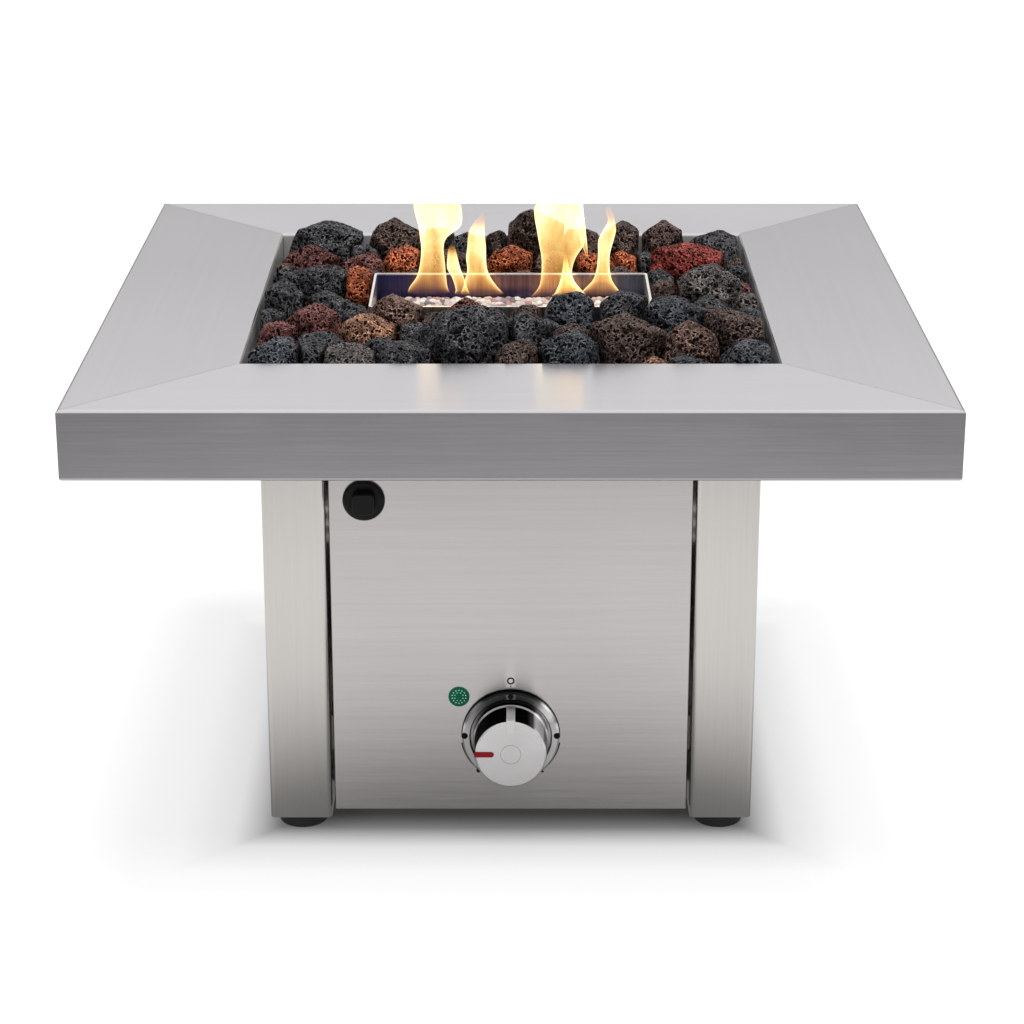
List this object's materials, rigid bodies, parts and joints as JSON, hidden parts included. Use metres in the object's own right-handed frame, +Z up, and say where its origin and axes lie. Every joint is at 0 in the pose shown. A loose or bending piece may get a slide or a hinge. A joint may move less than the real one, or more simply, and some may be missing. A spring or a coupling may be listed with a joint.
{
  "type": "gas fire pit table",
  "caption": "Square brushed steel gas fire pit table: mitred top over a square cabinet, burner tray among lava rocks on a grate, front knob and push igniter.",
  "frame": {"origin": "on the floor under the middle of the table", "axes": "+Z up; the control panel faces -Y; +X is to the right of someone who faces the panel"},
  "size_m": [0.66, 0.66, 0.4333],
  "materials": {
    "top_steel": "brushed along each rail",
    "post_steel": "brushed upright",
    "panel_steel": "brushed across",
    "tray_steel": "brushed, heat tinted near the burner",
    "inner_steel": "dull mill finish",
    "zinc_steel": "zinc plated",
    "bezel_steel": "turned",
    "knob_metal": "fine turned, satin",
    "pointer_metal": "bright",
    "black_heat_paint": "matt heat-proof black",
    "lava_rock": "rough and porous, charcoal to brick red",
    "fire_media": "smooth white and pink chips",
    "white_ceramic": "matt",
    "brass": "turned",
    "valve_aluminium": "as cast and drawn",
    "foot_plastic": "moulded black",
    "black_plastic": "satin black",
    "gloss_black": "glossy black",
    "red_enamel": "red enamel",
    "green_badge": "green print with a ring of dots",
    "lead_rubber": "silicone sleeve"
  },
  "bodies": {
    "table": {"base_plate": "inner_steel", "bearer_fixings": "zinc_steel", "bezel_dots": "black_plastic", "burner_tray": "tray_steel", "burner_tube": "tray_steel", "corner_gussets": "inner_steel", "deck_bolts": "zinc_steel", "deck_plate": "inner_steel", "electrode": "white_ceramic", "fire_bowl": "black_heat_paint", "front_panel": "panel_steel", "gas_valve": "valve_aluminium", "igniter_housing": "gloss_black", "ignition_lead": "lead_rubber", "injector": "brass", "injector_bracket": "inner_steel", "inlet_fitting": "brass", "inlet_pipe": "valve_aluminium", "knob_bezel": "bezel_steel", "lava_rocks_front": "lava_rock", "lava_rocks_left": "lava_rock", "lava_rocks_rear": "lava_rock", "lava_rocks_right": "lava_rock", "left_panel": "panel_steel", "media_screen": "tray_steel", "outlet_pipe": "valve_aluminium", "panel_cleats": "inner_steel", "pebble_bed": "fire_media", "post_front_left": "post_steel", "post_front_right": "post_steel", "post_plates": "inner_steel", "post_rear_left": "post_steel", "post_rear_right": "post_steel", "rear_panel": "panel_steel", "return_springs": "zinc_steel", "right_panel": "panel_steel", "rock_grate": "black_heat_paint", "round_badge": "green_badge", "thermocouple": "brass", "top_bearers": "inner_steel", "top_rail_front": "top_steel", "top_rail_left": "top_steel", "top_rail_rear": "top_steel", "top_rail_right": "top_steel", "tray_fixings": "zinc_steel", "valve_bracket": "inner_steel"},
    "knob": {"control_knob": "knob_metal", "knob_pointer": "pointer_metal", "knob_red_mark": "red_enamel", "valve_stem": "zinc_steel"},
    "plunger": {"valve_plunger": "brass"},
    "button": {"igniter_button": "gloss_black"},
    "pad_front_left": {"foot_pad_front_left": "foot_plastic"},
    "stud_front_left": {"foot_stud_front_left": "zinc_steel"},
    "pad_front_right": {"foot_pad_front_right": "foot_plastic"},
    "stud_front_right": {"foot_stud_front_right": "zinc_steel"},
    "pad_rear_left": {"foot_pad_rear_left": "foot_plastic"},
    "stud_rear_left": {"foot_stud_rear_left": "zinc_steel"},
    "pad_rear_right": {"foot_pad_rear_right": "foot_plastic"},
    "stud_rear_right": {"foot_stud_rear_right": "zinc_steel"}
  },
  "joints": [
    {"name": "knob_push", "type": "slide", "parent": "table", "child": "plunger", "axis": [0, 1, 0], "range_m": [0, 0.004], "stiffness_N_per_m": 2000, "springref_m": -0.002},
    {"name": "knob_turn", "type": "hinge", "parent": "plunger", "child": "knob", "pos_m": [0, -0.2, 0.085], "axis": [0, -1, 0], "range_deg": [0, 270]},
    {"name": "igniter_push", "type": "slide", "parent": "table", "child": "button", "axis": [0, 1, 0], "range_m": [0, 0.003], "stiffness_N_per_m": 1500, "springref_m": -0.002},
    {"name": "foot_slide_front_left", "type": "slide", "parent": "table", "child": "pad_front_left", "axis": [0, 0, -1], "range_m": [0, 0.01]},
    {"name": "foot_screw_front_left", "type": "hinge", "parent": "pad_front_left", "child": "stud_front_left", "pos_m": [-0.171, -0.171, 0.006], "axis": [0, 0, -1], "range_deg": [0, 2880]},
    {"name": "foot_slide_front_right", "type": "slide", "parent": "table", "child": "pad_front_right", "axis": [0, 0, -1], "range_m": [0, 0.01]},
    {"name": "foot_screw_front_right", "type": "hinge", "parent": "pad_front_right", "child": "stud_front_right", "pos_m": [0.171, -0.171, 0.006], "axis": [0, 0, -1], "range_deg": [0, 2880]},
    {"name": "foot_slide_rear_left", "type": "slide", "parent": "table", "child": "pad_rear_left", "axis": [0, 0, -1], "range_m": [0, 0.01]},
    {"name": "foot_screw_rear_left", "type": "hinge", "parent": "pad_rear_left", "child": "stud_rear_left", "pos_m": [-0.171, 0.171, 0.006], "axis": [0, 0, -1], "range_deg": [0, 2880]},
    {"name": "foot_slide_rear_right", "type": "slide", "parent": "table", "child": "pad_rear_right", "axis": [0, 0, -1], "range_m": [0, 0.01]},
    {"name": "foot_screw_rear_right", "type": "hinge", "parent": "pad_rear_right", "child": "stud_rear_right", "pos_m": [0.171, 0.171, 0.006], "axis": [0, 0, -1], "range_deg": [0, 2880]}
  ],
  "couplings": [
    {"joint": "foot_screw_front_left", "follows": "foot_slide_front_left", "rad_per_m": 5026.5},
    {"joint": "foot_screw_front_right", "follows": "foot_slide_front_right", "rad_per_m": 5026.5},
    {"joint": "foot_screw_rear_left", "follows": "foot_slide_rear_left", "rad_per_m": 5026.5},
    {"joint": "foot_screw_rear_right", "follows": "foot_slide_rear_right", "rad_per_m": 5026.5}
  ]
}
